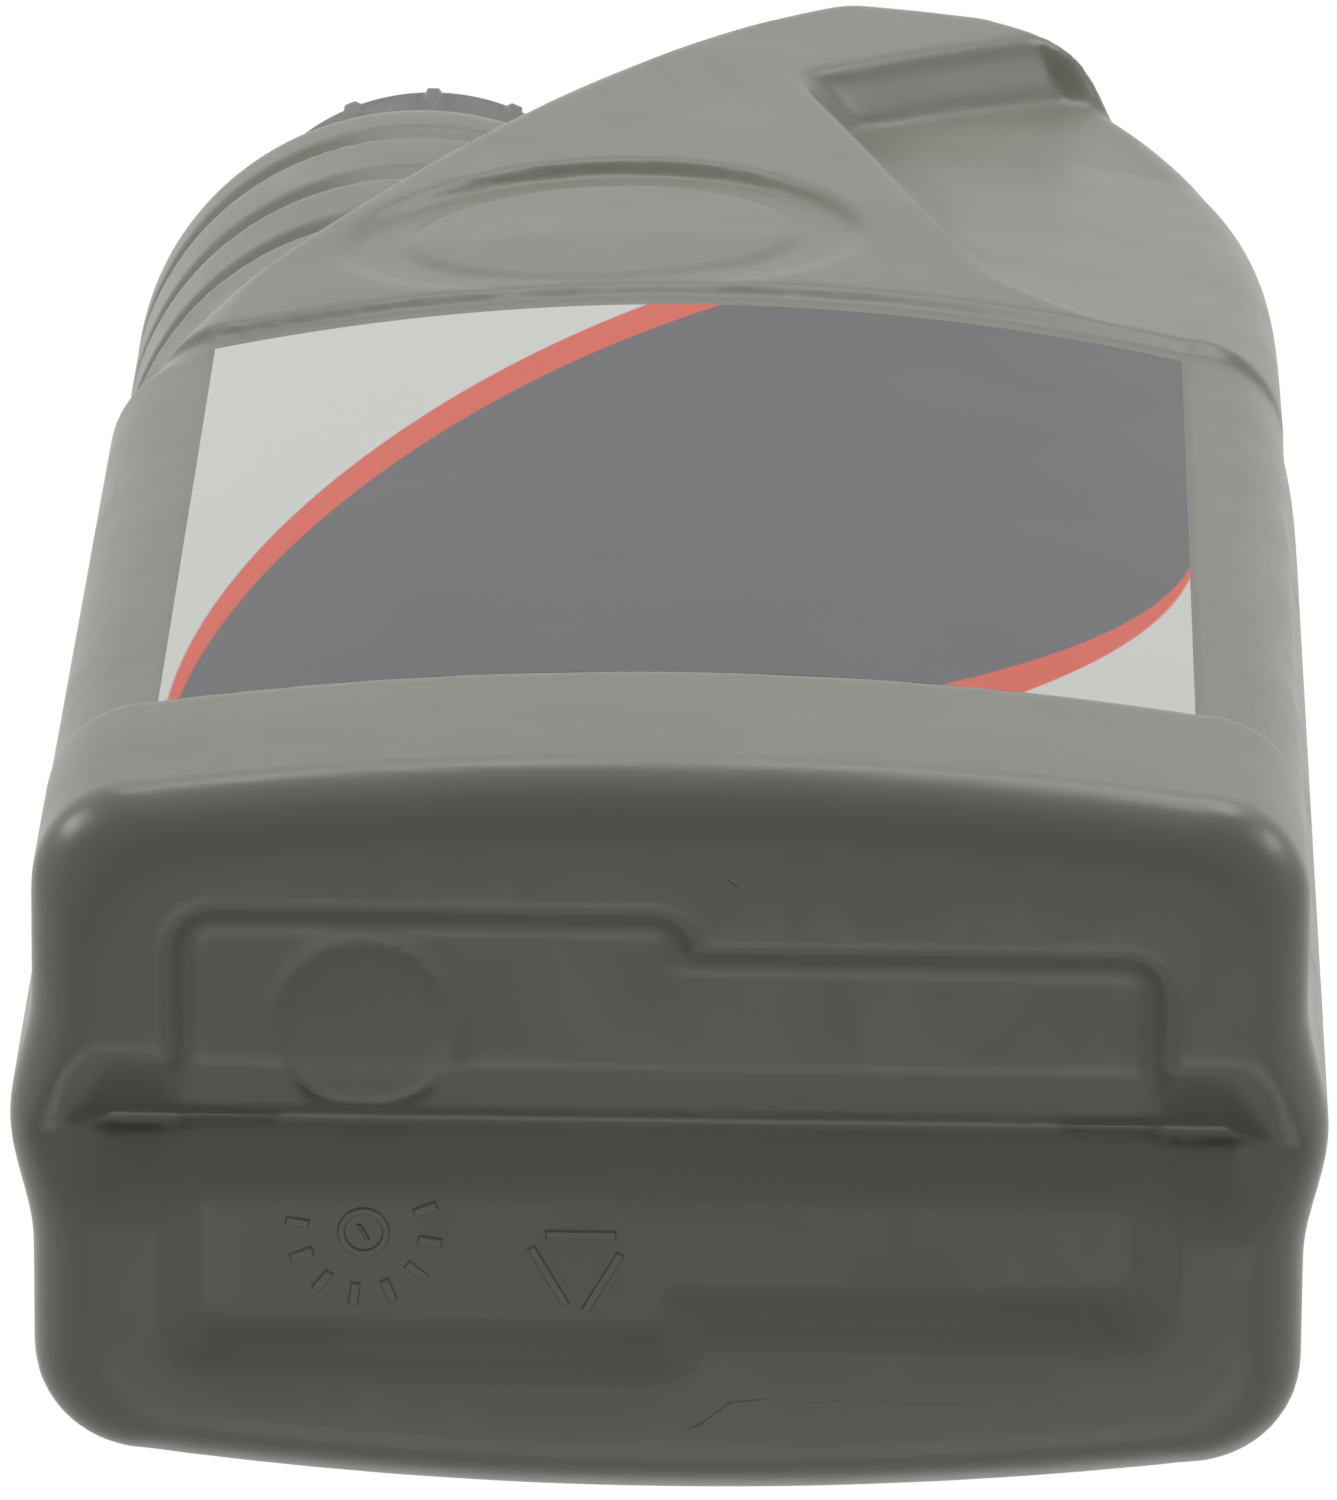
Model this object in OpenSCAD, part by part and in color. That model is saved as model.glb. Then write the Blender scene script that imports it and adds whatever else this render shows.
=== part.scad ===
// One litre moulded bottle for transmission fluid, in millimetres.
// X runs to the right, -Y is the labelled front, +Z is up, and the bottle stands on its base rim at z = 0.
// The mould halves part on the plane y = 0, so every form on the front is repeated on the back.

/* [Body] */
// Width across the two parting ridges
body_w = 108.5; // [104:0.5:114]
// Depth over the middle of the front and back faces
body_d = 64; // [60:0.5:70]
// Height of the crest above the grip
body_h = 223.5; // [218:0.5:230]
// Thickness of the blown wall
wall = 1.3; // [1:0.1:1.8]
// Radius of the four upright corners
corner_r = 9; // [7:0.5:11]
// Thickness of the wall under the crest, where the grip is pinched
crest_wall = 3.1; // [2:0.1:4]
// Rounding where the sides meet the base
base_edge_r = 5.5; // [4:0.5:7]
// Rounding along the crest
crest_edge_r = 4.5; // [4:0.5:9]
// How far the faces bow outwards at the base
face_bow_low = 2.8; // [2:0.2:4]
// How far the faces bow outwards above the label
face_bow_high = 4.8; // [3:0.2:5.4]
// How far the ridge on each side stands out along the parting line
ridge_out = 1.9; // [1.5:0.1:3]
// Half width of that ridge
ridge_half = 11; // [9:0.5:13]

/* [Front panel] */
// Height at which the slanting edge of the panel leaves the left side
panel_low = 125; // [120:1:132]
// How strongly the slanting edge curves over towards the crest
panel_power = 0.69; // [0.6:0.01:0.85]
// Distance of the crest from the middle of the bottle
crest_x = 20; // [15:0.5:21]
// Radius of the crisp corner along the slanting edge
panel_edge_r = 2.5; // [2:0.1:4]

/* [Grip] */
// Depth of the thumb hollow under the grip
thumb_depth = 5; // [4:0.5:8]
// Height at which the hollow starts to sink in
thumb_low = 131; // [128:1:136]
// Height of the top corner of the hollow
thumb_high = 194; // [188:1:198]
// Distance of that corner from the middle of the bottle
thumb_x = 8; // [5:0.5:10]
// Sideways run of the hollow's lower edge for each millimetre down
thumb_run = 0.32; // [0.28:0.01:0.36]
// How far that edge flares outwards at its lower end
thumb_flare = 9; // [6:0.5:11]
// Height at which the right side starts to lean in
lean_low = 146; // [135:1:150]
// How far the right side has leaned in at the crest
lean_in = 20.5; // [17:0.5:21]

/* [Label] */
// Width of the label along the face
label_w = 86; // [80:0.5:88]
// Height of the label's lower edge
label_z = 27.5; // [26:0.5:34]
// Height of the label
label_h = 99.5; // [90:0.5:102]
// Thickness of the label film
label_t = 0.25; // [0.2:0.05:0.4]
// Depth of the recess that the label lies in
label_sink = 0.9; // [0.6:0.1:1.2]
// Adhesive between label and bottle
label_glue = 0.1; // [0.05:0.05:0.2]

/* [Tower and neck] */
// Distance of the neck's axis from the middle of the bottle, to the left
neck_x = 27; // [26:0.5:29]
// Distance from the tamper band's seat down to the rounded shoulder around the neck
shoulder_drop = 1.6; // [1:0.2:5]
// Radius of that shoulder's rounding
shoulder_r = 4; // [3:0.5:5]
// Distance of the uppermost ring groove under the shoulder
ring_drop = 11; // [9:0.5:13]
// Spacing of the ring grooves
ring_gap = 12.5; // [11:0.5:13.5]
// Depth of a ring groove
ring_depth = 1.1; // [0.8:0.1:1.4]
// Height of a ring groove
ring_h = 3.2; // [2.4:0.2:4]
// Radius of the neck's wall
neck_r = 17.2; // [16.5:0.1:18]
// Radius of the bore through the neck
bore_r = 14.8; // [13.5:0.1:15]
// Height of the neck's sealing face over the crest
neck_rise = 1; // [0:0.1:2]
// Distance from the tamper band's seat up to the sealing face
neck_seat = 20; // [19:0.5:20.5]

/* [Cap] */
// Radius of the cap between its ribs
cap_r = 20; // [19.6:0.1:20.6]
// Thickness of the cap's top
cap_top = 1.9; // [1.6:0.1:2.2]
// Room that the screw thread fills between the neck and the cap's wall
thread_room = 1.65; // [1.4:0.05:1.8]
// Number of grip ribs around the cap
rib_count = 16; // [12:1:24]
// Width of a grip rib
rib_w = 1.5; // [1:0.1:2]
// How far a rib stands out
rib_out = 0.8; // [0.5:0.1:1]
// Thickness of the sealing disc inside the cap
liner_t = 1.6; // [1.2:0.1:1.8]
// Gap between the sealing disc and the faces above and below it
liner_gap = 0.3; // [0.3:0.05:0.4]
// Height of the torn tamper band
band_h = 2.8; // [2.2:0.1:3.2]
// Gap that the tear leaves between cap and band
band_gap = 0.4; // [0.3:0.1:0.6]
// Room between the cap's ribs and the flank of the grip
grip_gap = 2.6; // [2:0.1:3.2]

/* [Base] */
// Height of the recessed floor above the rim
floor_z = 2.5; // [2:0.1:3.5]
// Half length of the recess along the width
recess_x = 41.8; // [39:0.2:43]
// Reach of the deeper left half of the recess from the parting line
recess_left_y = 20.6; // [18:0.2:21.5]
// Reach of the right half of the recess from the parting line
recess_right_y = 17.4; // [15:0.2:18.5]
// Slope of the recess walls, measured along the floor
recess_slope = 3.2; // [2:0.2:4]
// Radius of the recess corners
recess_r = 4.5; // [4:0.5:6]
// Depth of the pinched channel along the parting line
channel_z = 5; // [4:0.2:6]
// Half width of that channel at the rim
channel_half = 7.3; // [6:0.1:8]
// Half length of the channel
channel_x = 47.5; // [45:0.5:48.5]
// Distance of the jog between the two halves of the recess from the middle
jog_x = 1.5; // [0:0.1:2.5]

/* [Oval plate] */
// Half width of the oval hollow on the panel
oval_a = 24; // [20:0.5:25]
// Half height of the oval hollow
oval_b = 20; // [16:0.5:21]
// Distance of the oval from the middle of the bottle, to the left
oval_x = 9; // [7:0.5:11]
// Height of the oval's centre
oval_z = 149; // [147:0.5:152]
// Depth of the oval hollow at its top
oval_sink = 1.4; // [1:0.1:1.8]
// Share of the hollow that the bare raised plate fills
plate_share = 0.76; // [0.6:0.02:0.8]
// Height of the raised plate over the hollow
plate_out = 0.6; // [0.3:0.1:0.8]

/* [Filling] */
// Distance of the liquid's surface under the shoulder
fill_drop = 15; // [11:1:50]
// Film of air between liquid and wall
fill_gap = 0.3; // [0.25:0.05:0.4]

/* [Hidden] */
$fn = 96;

side_half = body_w / 2 - ridge_out;
face_half = side_half - corner_r;
// The tower stands just inside the ridge, so that the two never share a face.
tower_r = body_w / 2 - neck_x - 0.35;
tower_low = panel_low - 2;
neck_top = body_h + neck_rise;
seat_z = neck_top - neck_seat;
shoulder_z = seat_z - shoulder_drop;
ring_z = shoulder_z - ring_drop;
fill_z = shoulder_z - fill_drop;
bead_out = 0.8;
bead_z = seat_z + band_h - 0.6;
cap_z = seat_z + band_h + band_gap;
cap_bore = neck_r + thread_room;
liner_z = neck_top + liner_gap;
cap_h = liner_z + liner_t + liner_gap + cap_top - cap_z;
// Room around the cap in the flank of the grip
well_r = cap_r + rib_out + grip_gap;
// The ledges of the label recess start a little way off the label and rise over a short run
label_top = label_z + label_h;
ledge_low_run = 1.5;
ledge_high_run = 2;
label_low = label_z - ledge_low_run;
label_high = label_top + 3;
crest_z = body_h + 2;
right_power = 3.1;
nose_power = 18.5;
nose_in = 11;
// Height of the flare, run of the hollow's flank below and above the corner, and slope of the underside
flare_h = 12;
flank_low = 3;
flank_high = 9;
underside_run = 1.1;
underside_start = thumb_high + 3;
// Cone that closes each end of the channel
cone_h = 2.4;
cone_drop = 2.6;
// Bevel of the cap's upper edge, and how far the ribs stay clear of both its edges
cap_edge = 1;
rib_low = 0.8;
rib_high = 1.6;
liner_play = 0.3;
band_play = 1.2;
// Thin overlap that lets touching forms melt together
melt = 0.01;

function ease(t) = let (c = min(1, max(0, t))) c * c * (3 - 2 * c);
function mix(a, b, t) = a + (b - a) * t;
function share(z, low, high) = min(1, max(0, (z - low) / (high - low)));

// Flat part of the left side: upright, then drawn over to the crest along the slanting panel edge
function left_flat(z) =
    -side_half + (crest_x + side_half) * (1 - pow(1 - share(z, panel_low, crest_z), panel_power));

// Flat part of the right side: upright, then leaning in, with a rounded nose at the crest
function right_flat(z) =
    let (s = share(z, lean_low, body_h))
    side_half - lean_in * pow(s, right_power) - nose_in * pow(s, nose_power);

// How far the rounding at the base draws the outline in
function base_in(z) =
    let (h = max(0, base_edge_r - max(0, z)))
    base_edge_r - sqrt(pow(base_edge_r, 2) - h * h);

// How far the rounding along the crest draws the faces in
function crest_in(z) =
    let (h = z - body_h + crest_edge_r)
    h > 0 ? crest_edge_r - sqrt(max(0, pow(crest_edge_r, 2) - h * h)) : 0;

// Bow of the face away from its middle
function bow(x, z) =
    mix(face_bow_low, face_bow_high, share(z, 0, label_top)) * pow(x / face_half, 2);

// Edge of the thumb hollow: down along the panel, then along the underside of the grip
function thumb_edge(z) =
    z < thumb_high
        ? thumb_x + (thumb_high - z) * thumb_run
            + thumb_flare * pow(1 - share(z, thumb_low, thumb_low + flare_h), 2)
        : thumb_x + max(0, z - underside_start) * underside_run;
function thumb_blend(z) = mix(flank_low, flank_high, ease((z - thumb_high + 4) / 10));
function thumb_in(x, z) =
    thumb_depth * share(z, thumb_low, thumb_high) * ease((x - thumb_edge(z)) / thumb_blend(z));

// Sideways start of the hollow in a skin that lies inset, which keeps the wall even on its steep flanks
function edge_lead(inset) = inset * 1.5;

// Recess for the label, between its two ledges
function label_in(z) =
    label_sink * ease((z - label_low) / ledge_low_run) * (1 - ease((z - label_high) / ledge_high_run));

// Distance of the front face from the parting plane, for a skin that lies inset from the outside
function face_y(x, z, inset) =
    let (hollow = thumb_in(x + edge_lead(inset), z - inset))
    body_d / 2 - inset - base_in(z - inset) - crest_in(z) - bow(x, z) - hollow - label_in(z);

// Stations across the front face: the panel, the edge of the hollow, then the thumb hollow
function stations(low, high, z, inset, n) =
    let (
        gap = min(2.5, (high - low) / 8),
        start = thumb_edge(z - inset) - edge_lead(inset),
        edge = max(low + gap, min(high - 3 * gap, start)),
        done = min(high - gap, edge + thumb_blend(z - inset))
    )
    concat(
        [for (k = [0 : n[0] - 1]) mix(low, edge, k / n[0])],
        [for (k = [0 : n[1] - 1]) mix(edge, done, k / n[1])],
        [for (k = [0 : n[2]]) mix(done, high, k / n[2])]
    );

function flat_left(z, inset) = left_flat(z + inset) + base_in(z - inset) + inset;
function flat_right(z, inset) = right_flat(z + inset) - base_in(z - inset) - inset;
function round_left(z, inset) =
    min(
        max(1, mix(corner_r, panel_edge_r, ease((z - panel_low) / 25)) - inset),
        (flat_right(z, inset) - flat_left(z, inset)) * 0.3
    );
function round_right(z, inset) =
    min(
        max(1, mix(corner_r, corner_r * 0.66, ease((z - 150) / 50)) - inset),
        (flat_right(z, inset) - flat_left(z, inset)) * 0.3
    );
function side_step(y) = ridge_out * (1 - ease(y / ridge_half));

// Front half of the body's outline at one height, from the left parting line to the right one
function half_outline(z, inset, n) =
    let (
        rl = round_left(z, inset),
        rr = round_right(z, inset),
        xl = flat_left(z, inset) + rl,
        xr = flat_right(z, inset) - rr,
        yl = face_y(xl, z, inset) - rl,
        yr = face_y(xr, z, inset) - rr,
        grip = ease((z - thumb_high) / 20)
    )
    concat(
        [for (k = [0 : n[3] - 1]) let (y = yl * k / n[3]) [xl - rl - side_step(y) * (1 - grip), y]],
        [for (k = [0 : n[4] - 1]) let (a = 90 * k / n[4]) [xl - rl * cos(a), yl + rl * sin(a)]],
        [for (x = stations(xl, xr, z, inset, n)) [x, face_y(x, z, inset)]],
        [for (k = [1 : n[4]]) let (a = 90 * k / n[4]) [xr + rr * sin(a), yr + rr * cos(a)]],
        [for (k = [1 : n[3]]) let (y = yr * (1 - k / n[3])) [xr + rr + side_step(y) * (1 - grip), y]]
    );

// Whole outline at one height: the front half, then the back half returning
function outline(z, inset, n) =
    let (half = half_outline(z, inset, n))
    concat(
        [for (p = half) [p[0], -p[1], z]],
        [for (k = [len(half) - 2 : -1 : 1]) [half[k][0], half[k][1], z]]
    );

// Faces between each outline of a stack and the next
function side_faces(count, levels) = [
    for (j = [0 : levels - 2])
    for (k = [0 : count - 1])
    let (a = j * count + k, b = j * count + (k + 1) % count)
    each [[a, a + count, b], [b, a + count, b + count]]
];

// Closed skin through a stack of outlines with equally many points, each end a fan about its middle
module skin(rings) {
    count = len(rings[0]);
    levels = len(rings);
    hub = levels * count;
    polyhedron(
        points = concat([for (ring = rings) each ring], [middle(rings[0]), middle(rings[levels - 1])]),
        faces = concat(
            [for (k = [0 : count - 1]) [k, (k + 1) % count, hub]],
            [for (k = [0 : count - 1]) [hub - count + (k + 1) % count, hub - count + k, hub + 1]],
            side_faces(count, levels)
        )
    );
}
function middle(ring) =
    let (far = len(ring) / 2)
    [(ring[0][0] + ring[far][0]) / 2, 0, ring[0][2]];

// Closed thin sheet: each outline runs along one face and back along the other
module sheet(rings) {
    count = len(rings[0]);
    levels = len(rings);
    top = (levels - 1) * count;
    polyhedron(
        points = [for (ring = rings) each ring],
        faces = concat(
            [for (k = [0 : count / 2 - 2]) let (b = count - 1 - k) each [[k, k + 1, b], [k + 1, b - 1, b]]],
            [
                for (k = [0 : count / 2 - 2])
                let (a = top + k, b = top + count - 1 - k)
                each [[a, b, a + 1], [a + 1, b, b - 1]]
            ],
            side_faces(count, levels)
        )
    );
}

// Heights of the outlines, close together where the form turns
function base_levels(low) = [for (k = [0 : 5]) low + (base_edge_r - low) * (1 - cos(k * 18))];
function label_levels() = [label_z, 76, panel_low - 8, panel_low, label_top];
function outer_levels() =
    concat(
        base_levels(0),
        [15, label_low, label_low + ledge_low_run / 2],
        label_levels(),
        [label_high, label_high + ledge_high_run / 2, label_high + ledge_high_run],
        [for (z = [label_high + 6 : 4.8 : thumb_high]) z],
        [for (z = [thumb_high + 3 : 3 : body_h - crest_edge_r]) z],
        [for (k = [1 : 5]) body_h - crest_edge_r * (1 - sin(k * 18))]
    );
function inner_levels(low, high) =
    concat(
        [for (k = [0 : 3]) low + base_edge_r * (1 - cos(k * 30))],
        [label_low, label_z, panel_low, label_high, label_high + ledge_high_run],
        [for (z = [label_high + 9 : 9 : high - 4]) z],
        [high]
    );

OUTER_STEPS = [8, 4, 4, 3, 6];
INNER_STEPS = [6, 3, 3, 2, 3];

// Lathe profile of the tower around the neck's axis: plain, or with its ring grooves
function tower_profile(inset, grooved) =
    let (r = tower_r - inset, top = shoulder_z - inset)
    concat(
        [[0, tower_low], [r, tower_low]],
        grooved ? [for (k = [2 : -1 : 0]) each ring_groove(ring_z - k * ring_gap)] : [],
        [for (a = [0 : 15 : 90]) [r - shoulder_r * (1 - cos(a)), top - shoulder_r * (1 - sin(a))]],
        [[0, top]]
    );

// One ring groove, steep below and shallow above
function ring_groove(z) =
    [[tower_r, z - ring_h * 0.25], [tower_r - ring_depth, z], [tower_r, z + ring_h * 0.75]];

// Neck with the bead that holds the tamper band down, as one lathe profile
module neck() {
    rotate_extrude()
        polygon([
            [0, shoulder_z - 3],
            [neck_r, shoulder_z - 3],
            [neck_r, bead_z - bead_out],
            [neck_r + bead_out, bead_z],
            [neck_r, bead_z + bead_out],
            [neck_r, neck_top],
            [0, neck_top]
        ]);
}

// Half of the recess in the base, with sloping walls; grow makes the same form larger for the wall
module recess_half(x0, x1, y, grow) {
    hull() {
        translate([0, 0, -1]) plate(x0 - grow, x1 + grow, y + grow, recess_r + grow, 1);
        translate([0, 0, floor_z + grow - melt])
            plate(
                x0 + recess_slope - grow, x1 - recess_slope + grow,
                y - recess_slope + grow, recess_r - recess_slope / 2 + grow, melt
            );
    }
}

// Plate with round corners, even about the parting plane
module plate(x0, x1, y, r, h) {
    for (x = [x0 + r, x1 - r])
        for (s = [-1, 1]) translate([x, s * (y - r), 0]) cylinder(r = r, h = h, $fn = 32);
}

channel_axis = (pow(channel_half, 2) - pow(channel_z, 2)) / (2 * channel_z);
channel_r = channel_z + channel_axis;

// Round-bottomed channel along the parting line, closed by a cone at each end
module channel(grow) {
    r = channel_r + grow;
    translate([0, 0, -channel_axis]) rotate([0, 90, 0]) {
        translate([0, 0, -channel_x - grow]) cylinder(r = r, h = 2 * (channel_x + grow));
        for (s = [0, 1])
            mirror([0, 0, s])
                translate([0, 0, channel_x + grow - melt]) cylinder(r1 = r, r2 = r - cone_drop, h = cone_h);
    }
}

module base_hollow(grow) {
    recess_half(-recess_x, jog_x + recess_slope / 2, recess_left_y, grow);
    recess_half(-recess_x / 2, recess_x, recess_right_y, grow);
    channel(grow);
}

// Room for the cap in the flank of the grip
module cap_well(grow) {
    translate([-neck_x, 0, shoulder_z - grow]) cylinder(r = well_r + grow, h = body_h);
}

// Bowed surface that follows the panel, leaning in by the depth of the hollow at its top
module panel_backing(inset_low, inset_high) {
    big_r = face_half * face_half / (2 * face_bow_high) + face_bow_high / 2;
    low = oval_z - oval_b;
    lean = atan((inset_high - inset_low) / (2 * oval_b));
    translate([0, -body_d / 2 + inset_low, low])
        rotate([-lean, 0, 0])
            translate([0, big_r, -20]) cylinder(r = big_r, h = 4 * oval_b, $fn = 360);
}

module oval_prism(size) {
    translate([-oval_x, -body_d / 2 + 8, oval_z])
        rotate([90, 0, 0])
            linear_extrude(height = 12)
                scale([oval_a * size, oval_b * size]) circle(r = 1, $fn = 64);
}

// Layer behind the oval, between the face and a surface that deepens towards the top
module oval_layer(grow, inset_low, inset_high) {
    difference() {
        oval_prism(1 + grow / oval_b);
        panel_backing(inset_low, inset_high);
    }
}

// The hollow itself, with the bare raised plate left standing in it
module oval_hollow() {
    difference() {
        oval_layer(0, -0.1, oval_sink);
        intersection() {
            oval_prism(plate_share);
            panel_backing(0.1, oval_sink - plate_out);
        }
    }
}

module cavity() {
    difference() {
        skin([for (z = inner_levels(wall, body_h - crest_wall)) outline(z, wall, INNER_STEPS)]);
        base_hollow(wall);
        cap_well(wall);
        oval_layer(wall, wall, oval_sink + wall);
    }
    translate([-neck_x, 0, 0]) {
        rotate_extrude() polygon(tower_profile(wall + ring_depth, false));
        translate([0, 0, shoulder_z - 12]) cylinder(r = bore_r, h = neck_top - shoulder_z + 13);
    }
}

module bottle() {
    color([0.5, 0.5, 0.46]) difference() {
        union() {
            difference() {
                skin([for (z = outer_levels()) outline(z, 0, OUTER_STEPS)]);
                cap_well(0);
            }
            translate([-neck_x, 0, 0]) {
                rotate_extrude() polygon(tower_profile(0, true));
                neck();
            }
        }
        cavity();
        base_hollow(0);
        oval_hollow();
    }
}

module cap() {
    color([0.34, 0.34, 0.33]) translate([-neck_x, 0, cap_z]) {
        difference() {
            union() {
                cylinder(r = cap_r, h = cap_h - cap_edge);
                translate([0, 0, cap_h - cap_edge])
                    cylinder(r1 = cap_r, r2 = cap_r - cap_edge, h = cap_edge);
                for (k = [0 : rib_count - 1])
                    rotate([0, 0, k * 360 / rib_count])
                        translate([cap_r - 1, -rib_w / 2, rib_low])
                            cube([rib_out + 1, rib_w, cap_h - rib_low - rib_high]);
            }
            translate([0, 0, -1]) cylinder(r = cap_bore, h = cap_h - cap_top + 1);
        }
    }
}

module cap_liner() {
    color([0.9, 0.88, 0.8]) translate([-neck_x, 0, liner_z])
        cylinder(r = cap_bore - liner_play, h = liner_t);
}

module tamper_band() {
    color([0.34, 0.34, 0.33]) translate([-neck_x, 0, seat_z]) difference() {
        cylinder(r = cap_r, h = band_h);
        translate([0, 0, -1]) cylinder(r = neck_r + band_play, h = band_h + 2);
    }
}

// Front face of the bottle over the label, shifted outwards
function label_row(z, out) =
    let (
        rl = round_left(z, 0),
        rr = round_right(z, 0),
        xs = stations(flat_left(z, 0) + rl, flat_right(z, 0) - rr, z, 0, OUTER_STEPS)
    )
    [for (x = xs) [x, -face_y(x, z, -out), z]];

module label_front() {
    color([0.85, 0.86, 0.82]) intersection() {
        sheet([
            for (z = label_levels())
            let (inner = label_row(z, label_glue))
            concat(
                label_row(z, label_glue + label_t),
                [for (k = [len(inner) - 1 : -1 : 0]) inner[k]]
            )
        ]);
        translate([-label_w / 2, -body_d, label_z]) cube([label_w, body_d, label_h]);
    }
}

module fluid() {
    color([0.72, 0.42, 0.12]) union() {
        difference() {
            skin([for (z = inner_levels(wall + fill_gap, fill_z)) outline(z, wall + fill_gap, INNER_STEPS)]);
            base_hollow(wall + fill_gap);
            oval_layer(wall, wall + fill_gap, oval_sink + wall + fill_gap);
        }
        translate([-neck_x, 0, tower_low])
            cylinder(r = tower_r - wall - ring_depth - fill_gap, h = fill_z - tower_low);
    }
}

bottle();
cap();
cap_liner();
tamper_band();
label_front();
fluid();
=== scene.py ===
"""Dresses the moulded one litre bottle: its blown body, screw cap, label and studio.

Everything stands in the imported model's frame. Sizes are in millimetres, as on a maker's drawing,
and become metres where a mesh is made.
"""

import math

import bpy
import numpy as np
from mathutils import Matrix, Vector


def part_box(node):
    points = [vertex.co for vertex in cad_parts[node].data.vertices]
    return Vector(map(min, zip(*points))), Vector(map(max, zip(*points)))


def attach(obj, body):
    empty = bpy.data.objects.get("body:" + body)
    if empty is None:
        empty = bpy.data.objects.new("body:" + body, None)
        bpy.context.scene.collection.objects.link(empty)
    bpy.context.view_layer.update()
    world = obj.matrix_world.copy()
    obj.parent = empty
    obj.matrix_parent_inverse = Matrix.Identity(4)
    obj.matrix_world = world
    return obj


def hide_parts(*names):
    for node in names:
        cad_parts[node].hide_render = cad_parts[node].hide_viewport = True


bl_info = {
    "name": "Moulded litre bottle",
    "version": (1, 0, 0),
    "blender": (4, 5, 0),
    "location": "View3D > Sidebar > Bottle",
    "description": "Dresses a blow-moulded litre bottle with a screw cap and a label",
    "category": "Add Mesh",
}

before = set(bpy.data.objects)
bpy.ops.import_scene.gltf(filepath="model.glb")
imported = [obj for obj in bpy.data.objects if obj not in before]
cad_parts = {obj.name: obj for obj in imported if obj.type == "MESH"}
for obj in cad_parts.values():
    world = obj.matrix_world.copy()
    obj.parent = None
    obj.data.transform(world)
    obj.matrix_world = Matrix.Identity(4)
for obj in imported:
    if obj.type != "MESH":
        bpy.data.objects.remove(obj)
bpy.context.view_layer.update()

MM = 0.001
NECK_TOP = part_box("bottle")[1].z / MM
NECK_RISE = 1.0
CREST_Z = NECK_TOP - NECK_RISE
CAP_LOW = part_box("cap")[0].z / MM
CAP_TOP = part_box("cap")[1].z / MM
BAND_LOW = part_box("tamper_band")[0].z / MM
BAND_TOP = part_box("tamper_band")[1].z / MM
LABEL_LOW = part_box("label_front")[0].z / MM
LABEL_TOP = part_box("label_front")[1].z / MM


# Settings that a user would change

class BodySettings(bpy.types.PropertyGroup):
    """Sizes and colour of the blown body."""

    voxel: bpy.props.FloatProperty(
        name="Voxel",
        description="Grain of the moulded skin in millimetres",
        default=0.55,
        min=0.4,
        max=2.0,
    )
    smoothing: bpy.props.IntProperty(
        name="Smoothing", description="Passes that soften the moulded edges", default=5, min=0, max=20
    )
    triangles: bpy.props.IntProperty(
        name="Triangles", description="Most triangles of the outer skin", default=128000, min=20000
    )
    colour: bpy.props.StringProperty(
        name="Colour", description="Pigment of the polyethylene, as sRGB hex", default="86867B"
    )


class CapSettings(bpy.types.PropertyGroup):
    """Sizes and colour of the screw cap."""

    ribs: bpy.props.IntProperty(
        name="Ribs", description="Grip ribs around the cap", default=16, min=8, max=48
    )
    rib_width: bpy.props.FloatProperty(
        name="Rib width", description="Width of a rib in millimetres", default=1.5
    )
    rib_height: bpy.props.FloatProperty(
        name="Rib height", description="Height of a rib in millimetres", default=0.8
    )
    colour: bpy.props.StringProperty(
        name="Colour", description="Pigment of the polypropylene, as sRGB hex", default="5E5E5B"
    )


class LabelSettings(bpy.types.PropertyGroup):
    """Colours of the printed label."""

    paper: bpy.props.StringProperty(
        name="Ground", description="Pale ground, as sRGB hex", default="EEF0EA"
    )
    field: bpy.props.StringProperty(
        name="Field", description="Large dark field, as sRGB hex", default="55565A"
    )
    accent: bpy.props.StringProperty(
        name="Accent", description="Curved bands, as sRGB hex", default="F85432"
    )


class StudioSettings(bpy.types.PropertyGroup):
    """Camera and light."""

    elevation: bpy.props.FloatProperty(
        name="Elevation", description="Camera above the horizon, in degrees", default=-70.5
    )
    azimuth: bpy.props.FloatProperty(
        name="Azimuth", description="Camera round the bottle, in degrees", default=2.88
    )
    roll: bpy.props.FloatProperty(
        name="Roll", description="Camera turned about its view, in degrees", default=3.45
    )
    distance: bpy.props.FloatProperty(
        name="Distance", description="Camera to the base in millimetres", default=1262.8
    )
    surround: bpy.props.FloatProperty(
        name="Surround", description="Strength of the even light", default=0.06
    )


# Form of the blown body, in millimetres

SIDE_HALF = 52.35  # flats of the two sides, from the middle
RIDGE_OUT = 1.9  # parting ridge over the flats
RIDGE_HALF = 11.0
CORNER_R = 9.0
PANEL_EDGE_R = 2.5
HALF_DEPTH = 32.0
BASE_EDGE_R = 5.5
CREST_EDGE_R = 4.5
CREST_X = 20.0
CREST_REACH = 2.0  # height above the crest where the slanting edge would end
PANEL_LOW = 125.0
PANEL_POWER = 0.69
LEAN_LOW = 146.0
LEAN_IN = 20.5
LEAN_POWER = 3.1
NOSE_IN = 11.0
NOSE_POWER = 18.5
BOW_LOW = 2.8
BOW_HIGH = 4.8
THUMB_DEPTH = 5.0
THUMB_LOW = 131.0
THUMB_HIGH = 194.0  # underside of the grip
THUMB_X = 8.0
THUMB_RUN = 0.32  # sideways run of the hollow's edge for each millimetre down
THUMB_FLARE = 9.0
THUMB_FLARE_RISE = 12.0
THUMB_BACK = 1.1  # sideways run of the grip's underside for each millimetre up
THUMB_SOFT = (3.0, 9.0)  # widths of the hollow's flank: beside the panel, under the grip
LABEL_SINK = 0.9
NECK_X = -27.0
TOWER_R = 26.9
TOWER_LOW = 123.0
SHOULDER_Z = 202.9
SHOULDER_R = 4.0
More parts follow.
